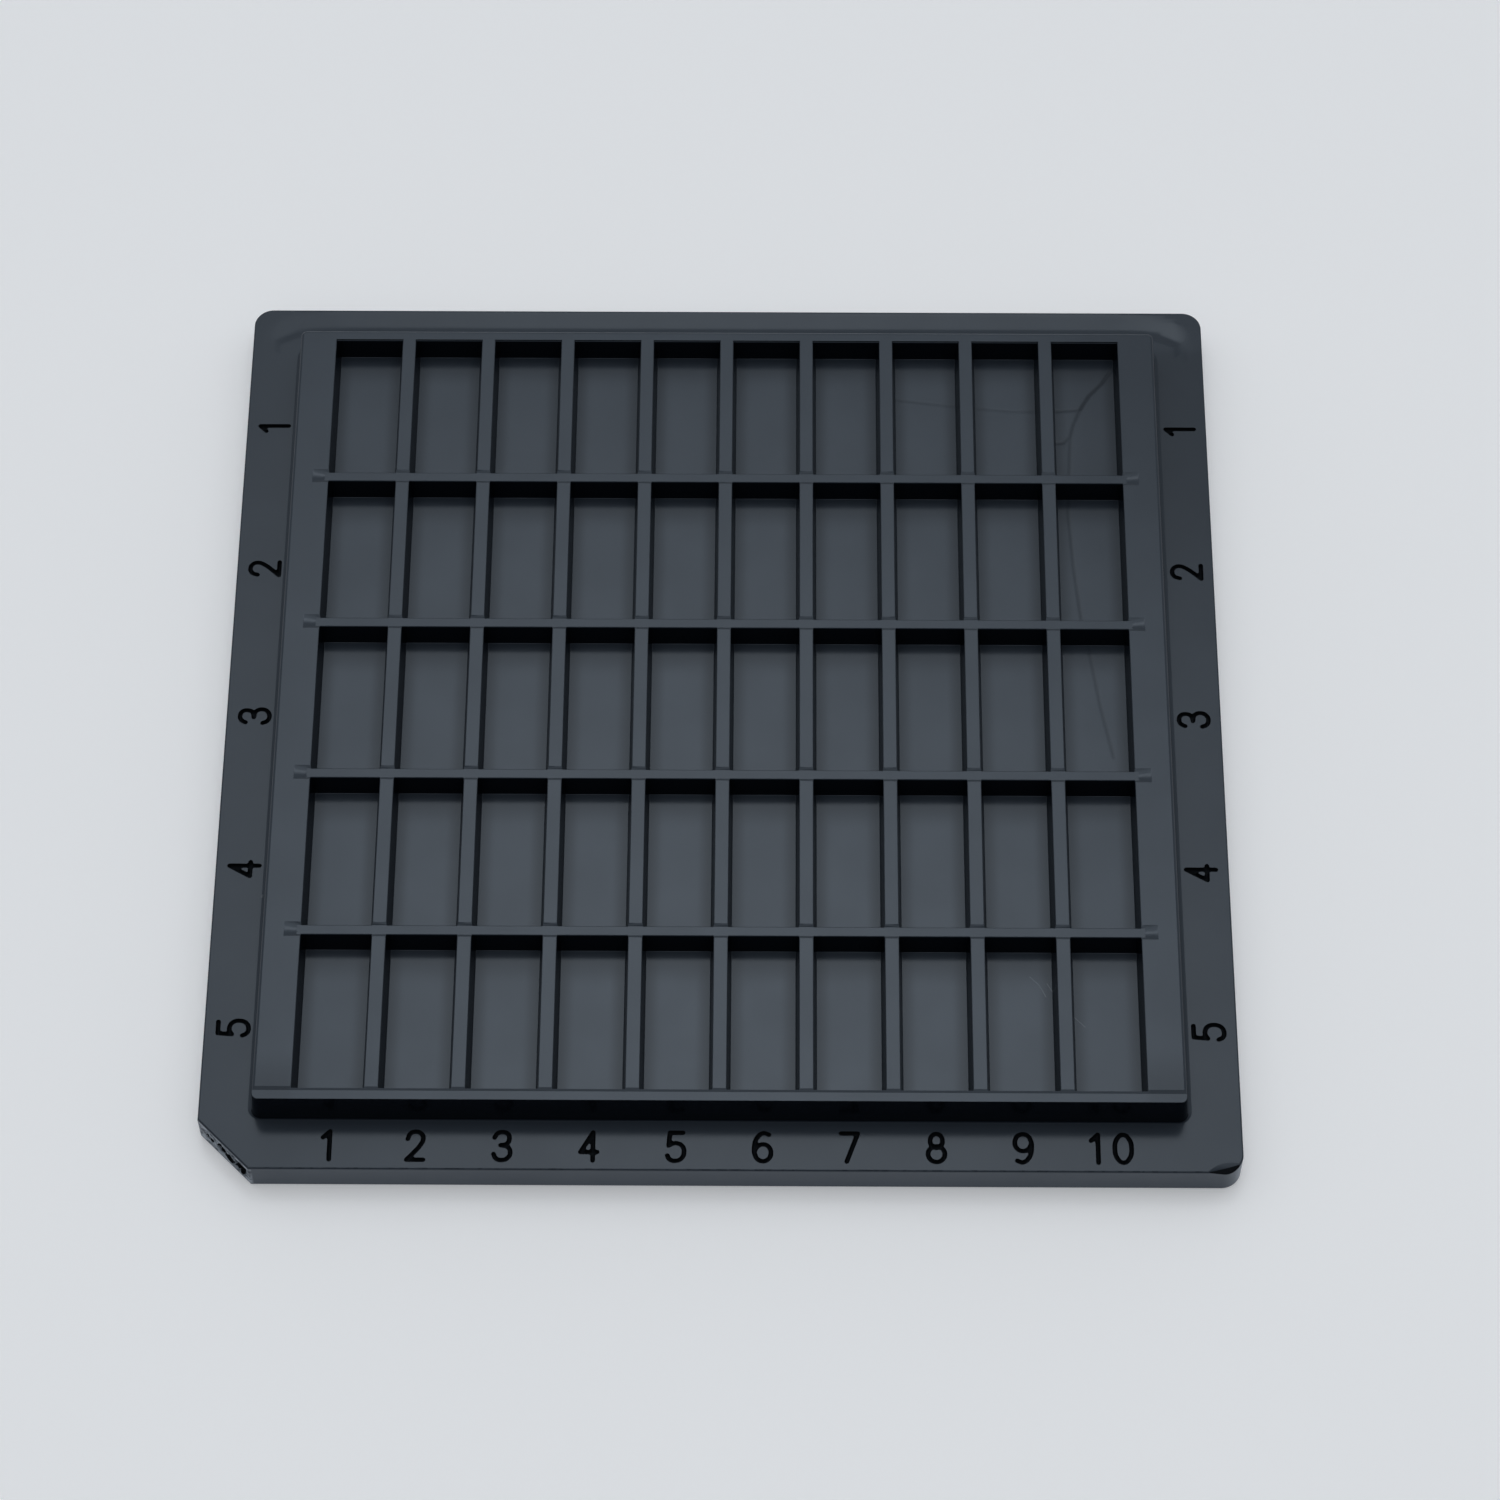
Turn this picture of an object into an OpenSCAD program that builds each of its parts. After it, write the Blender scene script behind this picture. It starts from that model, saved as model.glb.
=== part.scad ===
// Stackable waffle tray for bare dies: one moulded piece with a keyed square rim,
// a drafted plateau with a grid of drafted pockets, and a nesting recess underneath.
// Millimetres, Z up. Origin: centre of the square outline, on the foot ring.

/* [Outline] */
// Side of the square tray
tray_side = 50.8; // [49:0.1:56]
// Height from the foot ring to the plateau top
tray_h = 3.9; // [3.4:0.05:6]
// Height of the rim around the plateau
rim_h = 1.85; // [1.5:0.05:2.6]
// Radius of the three round rim corners
rim_corner_r = 1; // [0.4:0.1:3]
// Leg of the 45 degree key corner
key_leg = 2.6; // [1:0.1:4]

/* [Plateau] */
// Side of the square plateau at its top
plateau_side = 45.2; // [44.6:0.1:46]
// Draft of the plateau walls, in degrees
plateau_draft = 4.5; // [1:0.5:8]
// Corner radius of the plateau at its top
plateau_corner_r = 0.3; // [0.2:0.1:2]

/* [Pockets] */
// Pockets side by side
columns = 10; // [1:1:10]
// Rows of pockets, front to back
rows = 5; // [1:1:5]
// Width of a pocket at its floor
pocket_w = 3.2; // [1.5:0.05:3.6]
// Length of a pocket at its floor
pocket_l = 8; // [4:0.1:8.2]
// Depth of a pocket below the plateau top
pocket_depth = 1.35; // [0.6:0.05:2]
// Draft of the long pocket walls, in degrees
side_draft = 6.5; // [1:0.5:9]
// Draft of the short pocket walls, in degrees
end_draft = 8.5; // [1:0.5:10]
// Spacing of the columns
column_pitch = 4.21; // [3.9:0.01:4.35]
// Spacing of the rows
row_pitch = 8.91; // [8.75:0.01:9]

/* [Cross ribs] */
// How far the cross ribs and the front strip lie below the plateau top
rib_drop = 0.08; // [0.04:0.01:0.3]
// How far a cross rib groove runs past the outer pockets
groove_run = 0.8; // [0.4:0.1:1.2]

/* [Nesting] */
// Depth of the recess that takes the plateau of the tray below
nest_depth = 1.2; // [0.6:0.05:1.3]
// Clearance around the plateau of the tray below
nest_gap = 0.25; // [0.1:0.05:0.5]

/* [Hidden] */
$fn = 48;
// Overlap that keeps cuts and joined faces from meeting edge to edge
lap = 0.05;
// Opening of a pocket at the plateau top
pocket_top_w = pocket_w + 2 * pocket_depth * tan(side_draft);
pocket_top_l = pocket_l + 2 * pocket_depth * tan(end_draft);
// Extent of the pocket grid at the plateau top
grid_w = (columns - 1) * column_pitch + pocket_top_w;
grid_l = (rows - 1) * row_pitch + pocket_top_l;
// Rib between two rows, widened into the drafted pocket edges
groove_w = row_pitch - pocket_top_l + 2 * lap;

// Bar along Y with a trapezoid section: width w at height 0, sides opening by draft, to height h
module drafted_bar(w, length, h, draft) {
    grow = h * tan(draft);
    rotate([90, 0, 0])
        linear_extrude(length, center = true)
            polygon([[-w / 2, 0], [w / 2, 0], [w / 2 + grow, h], [-w / 2 - grow, h]]);
}

// Square block with round corners: side and radius hold at the top, the walls widen downwards
module drafted_block(side, radius, h, draft) {
    grow = h * tan(draft);
    inner = side - 2 * radius;
    for (turn = [0, 90])
        rotate([180, 0, turn])
            drafted_bar(side, inner, h, draft);
    for (x = [-1, 1], y = [-1, 1])
        translate([x * inner / 2, y * inner / 2, -h])
            cylinder(h = h, r1 = radius + grow, r2 = radius);
}

// Outline of the rim: round corners, and the key corner cut off at the front left
module rim_outline() {
    inner = tray_side - 2 * rim_corner_r;
    difference() {
        union() {
            square([tray_side, inner], center = true);
            square([inner, tray_side], center = true);
            for (x = [-1, 1], y = [-1, 1])
                translate([x * inner / 2, y * inner / 2])
                    circle(r = rim_corner_r);
        }
        translate([-tray_side / 2, -tray_side / 2])
            rotate(45)
                square(key_leg * sqrt(2), center = true);
    }
}

// Every pocket at once: the troughs of the columns crossed with the troughs of the rows
module pockets() {
    cut_h = pocket_depth + 2 * lap;
    translate([0, 0, tray_h - pocket_depth])
        intersection() {
            for (i = [0 : columns - 1])
                translate([(i - (columns - 1) / 2) * column_pitch, 0, 0])
                    drafted_bar(pocket_w, tray_side, cut_h, side_draft);
            for (j = [0 : rows - 1])
                translate([0, (j - (rows - 1) / 2) * row_pitch, 0])
                    rotate([0, 0, 90])
                        drafted_bar(pocket_l, tray_side, cut_h, end_draft);
        }
}

// Shallow grooves that lower the cross ribs, with round ends on the side bands
module rib_grooves() {
    straight = grid_w + 2 * groove_run - groove_w;
    for (j = [1 : 1 : rows - 1])
        translate([0, (j - rows / 2) * row_pitch, tray_h - rib_drop])
            linear_extrude(rib_drop + lap)
                union() {
                    square([straight, groove_w], center = true);
                    for (x = [-1, 1])
                        translate([x * straight / 2, 0])
                            circle(d = groove_w);
                }
}

// Lowered strip along the front edge of the plateau
module front_step() {
    translate([-tray_side / 2, -tray_side / 2, tray_h - rib_drop])
        cube([tray_side, (tray_side - grid_l) / 2 + lap, rib_drop + lap]);
}

// Recess under the tray: the plateau shape with the nesting clearance around it
module nest_recess() {
    side = plateau_side + 2 * nest_gap;
    translate([0, 0, nest_depth])
        drafted_block(side, plateau_corner_r + nest_gap, nest_depth + lap, plateau_draft);
}

module die_tray() {
    color("#22252a")
        difference() {
            union() {
                linear_extrude(rim_h)
                    rim_outline();
                translate([0, 0, tray_h])
                    drafted_block(plateau_side, plateau_corner_r, tray_h - rim_h / 2, plateau_draft);
            }
            nest_recess();
            pockets();
            rib_grooves();
            front_step();
        }
}

die_tray();
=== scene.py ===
# Looks of a bare die tray: one black moulding with a keyed rim, a plateau with a grid of
# drafted pockets, engraved index numerals and a nesting recess underneath.
import math

import bmesh
import bpy
from mathutils import Matrix, Quaternion, Vector, noise


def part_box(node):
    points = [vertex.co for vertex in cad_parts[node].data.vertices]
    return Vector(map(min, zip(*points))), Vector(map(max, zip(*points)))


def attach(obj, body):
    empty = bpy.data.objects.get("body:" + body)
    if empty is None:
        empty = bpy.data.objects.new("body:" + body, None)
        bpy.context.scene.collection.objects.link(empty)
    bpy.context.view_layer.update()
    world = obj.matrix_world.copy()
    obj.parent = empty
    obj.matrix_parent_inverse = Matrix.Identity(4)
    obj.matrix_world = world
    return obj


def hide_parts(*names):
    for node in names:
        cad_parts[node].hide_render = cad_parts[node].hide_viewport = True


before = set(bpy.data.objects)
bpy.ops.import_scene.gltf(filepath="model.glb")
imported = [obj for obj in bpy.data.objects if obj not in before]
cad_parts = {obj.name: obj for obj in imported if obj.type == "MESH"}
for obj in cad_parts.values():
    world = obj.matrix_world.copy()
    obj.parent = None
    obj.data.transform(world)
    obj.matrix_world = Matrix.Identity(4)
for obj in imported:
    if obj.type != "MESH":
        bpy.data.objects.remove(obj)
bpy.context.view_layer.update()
tray_low, tray_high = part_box("die_tray")

# Sizes are in millimetres and angles in degrees. The tray's mesh becomes metres when it is finished
MM = 0.001
PER_MM = 1 / MM

# Outline, from the frame and the tray's own sizes
TRAY_SIDE = (tray_high.x - tray_low.x) * PER_MM
TRAY_H = tray_high.z * PER_MM
RIM_H = 1.85
RIM_CORNER = 1.0
KEY_LEG = 2.6
PLATEAU_SIDE = 45.2
PLATEAU_DRAFT = 4.5
PLATEAU_CORNER = 0.3

# Pockets, and the lowered cross ribs and front strip. Drafts and slopes are from the upright
COLUMNS = 10
ROWS = 5
COLUMN_PITCH = 4.21
ROW_PITCH = 8.91
POCKET_W = 3.2
POCKET_L = 8.0
POCKET_DEPTH = 1.35
SIDE_DRAFT = 6.5
END_DRAFT = 8.5
RIB_DROP = 0.08
GROOVE_RUN = 1.0
GROOVE_FADE = 0.8
GROOVE_CLEAR = 0.01
GROOVE_SLOPE = 62
FRONT_STEP_SLOPE = 66

# Nesting recess underneath
NEST_DEPTH = 1.2
NEST_GAP = 0.25

# Small rounds that the mould leaves on the edges
PLATEAU_EDGE = 0.14
PLATEAU_FRONT_EDGE = 0.03
PLATEAU_FOOT = 0.22
PLATEAU_FRONT_FOOT = 0.05
RIM_EDGE = 0.08
FOOT_EDGE = 0.1
RECESS_ROOT = 0.15
FLOOR_FILLET = 0.025
LIP = 0.05

# Shallow sink along the back rim: a steep flank towards the plateau, a long one towards the rim's
# edge. Its line bends forwards round the plateau's corners, where it fades, and the right is deeper
SINK_DEPTH = 0.046
SINK_LINE = 24.27
SINK_INNER = 0.5
SINK_OUTER = 1.15
SINK_BEND_START = 22.0
SINK_BEND = 0.25
SINK_BEND_POWER = 1.5
SINK_FADE = (23.7, 24.9)
SINK_AT_LEFT = 0.4
SINK_AT_RIGHT = 1.5

# How finely round stretches are cut, and how far a cutter reaches past what it cuts
CORNER_STEPS = 48
EDGE_STEPS = 5
WALL_STEPS = 20
SINK_STEPS = 24
FADE_STEPS = 8
FILLET_TURNS = (0, 30, 60, 90)
LIP_TURNS = (0, 30, 60)
BACK_STOPS = (0.86, 0.9, 0.94, 0.97)
LAP = 0.1

# Which faces are steep walls, and which are shaded smooth, by the upright part of their normals
WALL_ABOVE_RIM = 0.1
WALL_NORMAL = 0.5
LEVEL_NORMAL = 0.999999
GENTLE_NORMAL = 0.99
SHARP_ANGLE = 40
FLAT_AREA = 0.15

# Engraved index numerals: columns on the front rim, rows on the side rims
NUMERAL_H = 1.5
NUMERAL_STROKE = 0.25
NUMERAL_DEPTH = 0.26
FRONT_LINE = -24.15
LEFT_LINE = -23.95
RIGHT_LINE = 24.0
ROW_NUMERAL_TURN = 90
DIGIT_W = 0.54
DIGIT_GAP = 0.3
OVAL_POINTS = 8
STROKE_BEVEL_STEPS = 2
STROKE_CURVE_STEPS = 4
BALL_SEGMENTS = 12
BALL_RINGS = 6
MERGE_DISTANCE = 1e-4
NUMERAL_VOXEL = 0.045

# Torn gate on the key corner. It fades towards both ends, the foot and the top, in shares of each way
KEY_TURN = -45
SCAR_DEPTH = 0.14
SCAR_FROM_LEFT = (0.03, 0.2)
SCAR_FROM_FRONT = (0.03, 0.12)
SCAR_FROM_FOOT = (0.05, 0.2)
SCAR_FROM_TOP = (0.12, 0.25)
SCAR_GRAIN = 0.4
SCAR_FINE_GRAIN = 2.3
SCAR_FINE_SHARE = 0.5
SCAR_FLATTENING = 1.5
SCAR_SLICE = 0.7
SCAR_SPREAD = (-0.1, 0.25)

# Pits of the torn gate: share of the key corner's length, height, half length and half height
SCAR_PITS = [
    (0.24, 0.98, 0.32, 0.22),
    (0.46, 0.98, 0.36, 0.42),
    (0.62, 0.82, 0.34, 0.42),
    (0.83, 0.84, 0.36, 0.48),
]
PIT_DEPTH = 0.35
PIT_SUBDIVISIONS = 3
PIT_RAGGEDNESS = 0.3
PIT_GRAIN = 1.6
PIT_SHIFT = 9
PIT_VOXEL = 0.03

# Dent in the front right rim corner: a gentle flank down to a crease, then a steep facet outwards,
# painted dark as shade
DENT_START = Vector((23.6, -25.39))
DENT_END = Vector((25.3, -24.93))
DENT_FLANK = 0.24
DENT_LEAST_FLANK = 0.02
DENT_FLANK_SLOPE = 12
DENT_SLOPE = 36
DENT_REACH = 1.2
DENT_STEPS = 8
DENT_OVERRUN = 2
DENT_FACET_NORMAL = 0.9

# Finish of the plastic: roughness by level, and how far from each level it changes
FACE_ROUGHNESS = 0.36
RIM_ROUGHNESS = 0.5
FLOOR_ROUGHNESS = 0.36
PLATEAU_ROUGHNESS = 0.39
MATT_ROUGHNESS = 0.85
FACE_FADE = (0.2, 0.09)
RIM_FADE = 0.1
PLATEAU_FADE = 0.2
FLOOR_BAND = 0.06
FLOOR_BAND_SOFT = 0.03

# Gloss and colours of the plastic, with the glossier skin on it
PLASTIC_IOR = 1.42
GLOSS_TINT = (0.78, 0.88, 1.0)
SKIN_ROUGHNESS = 0.19
SKIN_SHARE = 0.38
DEEP_BLACK = (0.0035, 0.006, 0.0105)
SOFT_BLACK = (0.0045, 0.0075, 0.0125)
TORN_GREY = (0.36, 0.38, 0.41)
DUST_GREY = (0.05, 0.054, 0.06)

# Noise patterns of the finish, each a scale and a detail, with the stretch of the noise that counts
TONE_NOISE = (1.5, 3.0)
MOTTLE_NOISE = (0.32, 4.0)
MOTTLE_SPREAD = (0.25, 0.75)
MOTTLE = 0.025
GRAIN_NOISE = (14.0, 2.0)
GRAIN_HEIGHT = 0.001
SPARK_NOISE = (9.0, 3.0)
SPARK_SPREAD = (0.2, 0.8)

# Finish of the hollows (numeral grooves, torn pits, dent facet) and of the steep walls, with a darker
# colour that is painted shade: two tones, refraction and a range of roughness
HOLLOW_SHADE_FINISH = ((0.003, 0.0032, 0.0036), (0.005, 0.0052, 0.006), 1.2, (0.55, 0.85))
SHADED_WALL_FINISH = ((0.0012, 0.002, 0.0035), (0.0022, 0.0034, 0.0056), 1.38, (0.16, 0.26))

# Torn skin on the key corner: how far in from its face it fades, and how patchily it has gone pale
TORN_FADE = (0.02, 0.14)
TORN_FOOT = 0.12
TORN_SOFT = 0.12
PALE_NOISE = (2.4, 4.0)
PALE_SPREAD = (0.36, 0.62)
PALE_LEAST = 0.12

# Scuffs along the front edge of the rim: how far in they fade, and how far below the rim top
SCUFF_REACH = (0.06, 0.13)
SCUFF_BELOW = (0.1, 0.03)
SCUFF_NOISE = (2.2, 3.0)
SCUFF_SPREAD = (0.42, 0.6)

# Weld lines on the pocket floors, seen from above, each with its strength
WELD_LINES = [
    (1.0, [(20.6, 21.4), (19.9, 20.3), (19.2, 19.5), (18.7, 18.6)]),
    (0.55, [(18.7, 18.6), (18.35, 17.7), (18.15, 16.9), (17.8, 16.5), (17.4, 16.45)]),
    (0.45, [(18.7, 18.6), (17.5, 18.5)]),
    (0.4, [(18.15, 16.9), (18.0, 14.0), (17.9, 12.2), (18.1, 8.6), (18.4, 5.6)]),
    (0.3, [(18.4, 5.6), (18.8, 3.3), (19.2, 0.5), (19.8, -2.6)]),
    (0.2, [(17.5, 18.5), (15.0, 18.5), (12.0, 18.8), (9.0, 19.2)]),
]
WELD_HALF_WIDTH = 0.18
WELD_SINK = 0.006

# Pocket floors get duller towards their side walls and back wall: how much, and how far from the wall
SIDE_DULL = 0.24
SIDE_REACH = (0.0, 0.8)
BACK_DULL = 0.2
BACK_REACH = (0.4, 2.0)

# The side bands get duller towards their front ends: how much, from which distance off the middle,
# how far below the plateau top, and over which stretch from front to back
BAND_DULL = 0.17
BAND_START = (20.6, 20.9)
BAND_BELOW = (0.1, 0.05)
BAND_REACH = (-22.0, -19.8)

# The corner past the weld lines is duller: how much, where that starts and is full, and its back end
DULL_CORNER = 0.12
DULL_FROM = (16.8, 3.0)
DULL_FULL = (19.6, 19.0)
DULL_END = (22.6, 23.2)

# Hairs on the pocket floors and a speck of dust, seen from above, and where each one's edge is soft
HAIRS = [
    [(15.24, -15.17), (15.7, -15.65), (16.0, -16.27)],
    [(16.07, -15.55), (16.4, -16.1)],
    [(17.39, -17.42), (17.87, -17.91)],
]
HAIR_EDGE = (0.01, 0.04)
SPECK = [(-22.97, -10.49), (-22.95, -10.4)]
SPECK_EDGE = (0.03, 0.07)
SPECK_SHARE = 0.8

# Slightly cool studio light: a dome that is dimmer in front, with a soft glow high up behind the tray
LIGHT_TINT = (0.9, 1.0, 1.1)
DOME_FRONT = 0.25
DOME_BACK = 0.6
DOME_TURN = 0.6
GLOW = 3.2
GLOW_AZIMUTH = 0
GLOW_ELEVATION = 65
GLOW_TURN = -45
GLOW_LENGTH = 16
GLOW_WIDTH = 11.5
GLOW_CORE = 0.22

# Softbox overhead, with its distance and side in metres
SOFTBOX_AZIMUTH = 180
SOFTBOX_ELEVATION = 84
SOFTBOX_DISTANCE = 1.0
SOFTBOX_SIDE = 0.7
SOFTBOX_RADIANCE = 1.0

# Pale table top, with half its side in metres. It glows a little to the camera and in reflections
TABLE_HALF = 2.0
TABLE_DROP = 0.01
TABLE_ROUGHNESS = 0.6
TABLE_TONE = (0.86, 0.8, 0.761)
TABLE_GLOW = (0.2, 0.205, 0.21)
TABLE_GLOW_IN_REFLECTIONS = (0.13, 0.17, 0.22)

# Camera, fitted to the pocket grid in the photograph, with its nearest distance in metres
CAMERA_PLACE = (2.481, -121.252, 207.148)
CAMERA_AZIMUTH = -0.537
CAMERA_ELEVATION = 59.824
CAMERA_ROLL = -0.231
CAMERA_LENS = 112.06
CAMERA_NEAREST = 0.01

# Places of a Mix node's colour sockets among those for its other kinds of data
MIX_FIRST = 6
MIX_SECOND = 7
MIX_RESULT = 2


def tan_deg(angle):
    return math.tan(math.radians(angle))


def smooth_step(low, high, value):
    """Eases from 0 at low to 1 at high."""
    share = min(1.0, max(0.0, (value - low) / (high - low)))
    return share * share * (3 - 2 * share)


POCKET_TOP_W = POCKET_W + 2 * POCKET_DEPTH * tan_deg(SIDE_DRAFT)
POCKET_TOP_L = POCKET_L + 2 * POCKET_DEPTH * tan_deg(END_DRAFT)
GRID_W = (COLUMNS - 1) * COLUMN_PITCH + POCKET_TOP_W
GRID_L = (ROWS - 1) * ROW_PITCH + POCKET_TOP_L
FLOOR_Z = TRAY_H - POCKET_DEPTH


def mesh_object(name, bm):
    """A new object from a bmesh, with its normals pointing outwards."""
    bmesh.ops.recalc_face_normals(bm, faces=bm.faces)
    mesh = bpy.data.meshes.new(name)
    bm.to_mesh(mesh)
    bm.free()
    made = bpy.data.objects.new(name, mesh)
    bpy.context.scene.collection.objects.link(made)
    return made


def loft(rings):
    """A closed bmesh through rings of equal count, with a flat cap at each end."""
    bm = bmesh.new()
    made = [[bm.verts.new(point) for point in ring] for ring in rings]
    for ring, following in zip(made, made[1:]):
        for i in range(len(ring)):
            bm.faces.new((ring[i - 1], ring[i], following[i], following[i - 1]))
    bm.faces.new(made[0])
    bm.faces.new(made[-1])
    return bm


def square_ring(half, radius, z, key_leg=0.0, front=None):
    """Points round a square with round corners, with a few more on the straights by the back corners.
    key_leg cuts the front left corner straight, and front is the distance of the front side where it
    differs from half."""
    front = half if front is None else front
    stops = [(half - radius) * share for share in BACK_STOPS]
    points = []
    for corner, (x, y) in enumerate(((1, -front), (1, half), (-1, half), (-1, -front))):
        if corner == 1:
            points += [(half, stop, z) for stop in stops]
        elif corner == 2:
            points += [(stop, half, z) for stop in reversed(stops)]
            points += [(-stop, half, z) for stop in stops]
        elif corner == 3:
            points += [(-half, stop, z) for stop in reversed(stops)]
        for step in range(CORNER_STEPS + 1):
            share = step / CORNER_STEPS
            if key_leg and corner == 3:
                points.append((-half + share * key_leg, -half + (1 - share) * key_leg, z))
                continue
            angle = math.radians(90 * (corner - 1 + share))
            points.append((
                x * (half - radius) + radius * math.cos(angle),
                y - math.copysign(radius, y) + radius * math.sin(angle),
                z,
            ))
    return points


def rim_ring(inset, z):
    """Outline of the rim at a height, with the key corner cut off."""
    key_leg = KEY_LEG - (2 - math.sqrt(2)) * inset
    return square_ring(TRAY_SIDE / 2 - inset, RIM_CORNER - inset, z, key_leg)


def scarred_ring(z):
    """Rim outline at a height of its wall, with the torn gate on the key corner."""
    ring = rim_ring(0, z)
    first = len(ring) - (CORNER_STEPS + 1)
    height = (z - FOOT_EDGE) / (RIM_H - FOOT_EDGE - RIM_EDGE)
    for step in range(CORNER_STEPS + 1):
        x, y, z = ring[first + step]
        along = step / CORNER_STEPS
        window = smooth_step(*SCAR_FROM_LEFT, along) * smooth_step(*SCAR_FROM_FRONT, 1 - along)
        window *= smooth_step(*SCAR_FROM_FOOT, height) * smooth_step(*SCAR_FROM_TOP, 1 - height)
        spot = Vector((along * KEY_LEG * math.sqrt(2), z * SCAR_FLATTENING, SCAR_SLICE)) / SCAR_GRAIN
        tear = noise.noise(spot) + SCAR_FINE_SHARE * noise.noise(spot * SCAR_FINE_GRAIN)
        depth = SCAR_DEPTH * window * smooth_step(*SCAR_SPREAD, tear)
        ring[first + step] = (x + depth * math.sqrt(0.5), y + depth * math.sqrt(0.5), z)
    return ring


def sink_drop(x, y):
    """How far the sink lowers a place on the rim top."""
    bend = SINK_BEND * max(0.0, abs(x) - SINK_BEND_START) ** SINK_BEND_POWER
    past = y - (SINK_LINE - bend)
    if past < 0:
        share = smooth_step(-SINK_INNER, 0, past)
    else:
        share = max(0.0, 1 - past / SINK_OUTER)
    share *= 1 - smooth_step(*SINK_FADE, abs(x))
    half = TRAY_SIDE / 2
    side = SINK_AT_LEFT + (SINK_AT_RIGHT - SINK_AT_LEFT) * smooth_step(-half, half, x)
    return SINK_DEPTH * share * side


def sunk_rim(outer, inner):
    """Rings across the rim top from its edge to the foot of the plateau, with the sink in them."""
    for step in range(1, SINK_STEPS):
        share = 1 - step / SINK_STEPS
        ring = []
        for near, far in zip(inner, outer):
            x, y, z = Vector(near).lerp(Vector(far), share)
            ring.append((x, y, z - sink_drop(x, y)))
        yield ring


def plateau_ring(outset, z, front_outset):
    """Outline of the plateau at a height, moved out by an outset that has its own value in front."""
    grow = (TRAY_H - z) * tan_deg(PLATEAU_DRAFT)
    half = PLATEAU_SIDE / 2 + grow
    return square_ring(half + outset, PLATEAU_CORNER + grow + outset, z, front=half + front_outset)


def recess_ring(outset, z):
    """Outline of the nesting recess at a height, moved out by an outset."""
    grow = NEST_GAP + outset + (NEST_DEPTH - z) * tan_deg(PLATEAU_DRAFT)
    return square_ring(PLATEAU_SIDE / 2 + grow, PLATEAU_CORNER + grow, z)


def rounding(radius):
    """Steps round a quarter circle: how far each one is short of the two faces it joins."""
    for step in range(EDGE_STEPS + 1):
        angle = math.pi / 2 * step / EDGE_STEPS
        yield radius * (1 - math.sin(angle)), radius * (1 - math.cos(angle))


def tray_blank():
    """The moulding without its pockets, lofted from the recess ceiling round the rim to the plateau."""
    rings = [recess_ring(-short, NEST_DEPTH - rise) for short, rise in rounding(RECESS_ROOT)]
    rings += [recess_ring(rise, short) for short, rise in rounding(FOOT_EDGE)]
    rings += [rim_ring(short, rise) for short, rise in rounding(FOOT_EDGE)]
    wall_h = RIM_H - FOOT_EDGE - RIM_EDGE
    for step in range(1, WALL_STEPS):
        rings.append(scarred_ring(FOOT_EDGE + wall_h * step / WALL_STEPS))
    rings += [rim_ring(rise, RIM_H - short) for short, rise in rounding(RIM_EDGE)]
    rings += sunk_rim(rings[-1], plateau_ring(PLATEAU_FOOT, RIM_H, PLATEAU_FRONT_FOOT))
    foot_share = PLATEAU_FRONT_FOOT / PLATEAU_FOOT
    for short, rise in rounding(PLATEAU_FOOT):
        rings.append(plateau_ring(short, RIM_H + rise, short * foot_share))
    front_share = PLATEAU_FRONT_EDGE / PLATEAU_EDGE
    for short, rise in rounding(PLATEAU_EDGE):
        rings.append(plateau_ring(-rise, TRAY_H - short, -rise * front_share))
    return mesh_object("moulded_tray", loft(rings))


def wall_line(height, draft, top, past_lip):
    """How far a pocket wall stands outside its floor edge: floor fillet, drafted wall, rounded lip."""
    out = height * tan_deg(draft)
    short = max(0.0, FLOOR_FILLET - height)
    out -= FLOOR_FILLET - math.sqrt(FLOOR_FILLET**2 - short**2)
    rise = max(0.0, height - (top - LIP))
    last_turn = math.radians(LIP_TURNS[-1])
    lip_rise = LIP * math.sin(last_turn)
    out += LIP - math.sqrt(LIP**2 - min(rise, lip_rise) ** 2)
    return out + max(0.0, min(rise, past_lip) - lip_rise) * math.tan(last_turn)


def pocket_plug():
    """Cutter for one pocket, at the middle of the tray."""
    end_top = POCKET_DEPTH - RIB_DROP
    heights = [FLOOR_FILLET * (1 - math.cos(math.radians(turn))) for turn in FILLET_TURNS]
    for top in (end_top, POCKET_DEPTH):
        heights += [top - LIP + LIP * math.sin(math.radians(turn)) for turn in LIP_TURNS]
    heights += [end_top, POCKET_DEPTH + LAP]
    rings = []
    for height in sorted(heights):
        x = POCKET_W / 2 + wall_line(height, SIDE_DRAFT, POCKET_DEPTH, LIP + LAP)
        y = POCKET_L / 2 + wall_line(min(height, end_top), END_DRAFT, end_top, LIP)
        z = TRAY_H - POCKET_DEPTH + height
        rings.append([(-x, -y, z), (x, -y, z), (x, y, z), (-x, y, z)])
    return mesh_object("pocket_plug", loft(rings))


def groove_plug():
    """Cutter that lowers one cross rib and runs out softly on the side bands."""
    half = (ROW_PITCH - POCKET_TOP_L) / 2 + RIB_DROP * tan_deg(GROOVE_SLOPE)
    end = GRID_W / 2 + GROOVE_RUN
    places = [end - GROOVE_FADE * (1 - step / FADE_STEPS) for step in range(FADE_STEPS + 1)]
    high = TRAY_H + LAP
    high_half = half + (high - TRAY_H) * tan_deg(GROOVE_SLOPE)
    rings = []
    for x in [-place for place in reversed(places)] + places:
        rise = smooth_step(end - GROOVE_FADE, end, abs(x)) * (RIB_DROP + GROOVE_CLEAR)
        low = TRAY_H - RIB_DROP + rise
        low_half = half + (low - TRAY_H) * tan_deg(GROOVE_SLOPE)
        rings.append([
            (x, -low_half, low),
            (x, low_half, low),
            (x, high_half, high),
            (x, -high_half, high),
        ])
    return mesh_object("groove_plug", loft(rings))


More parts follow.
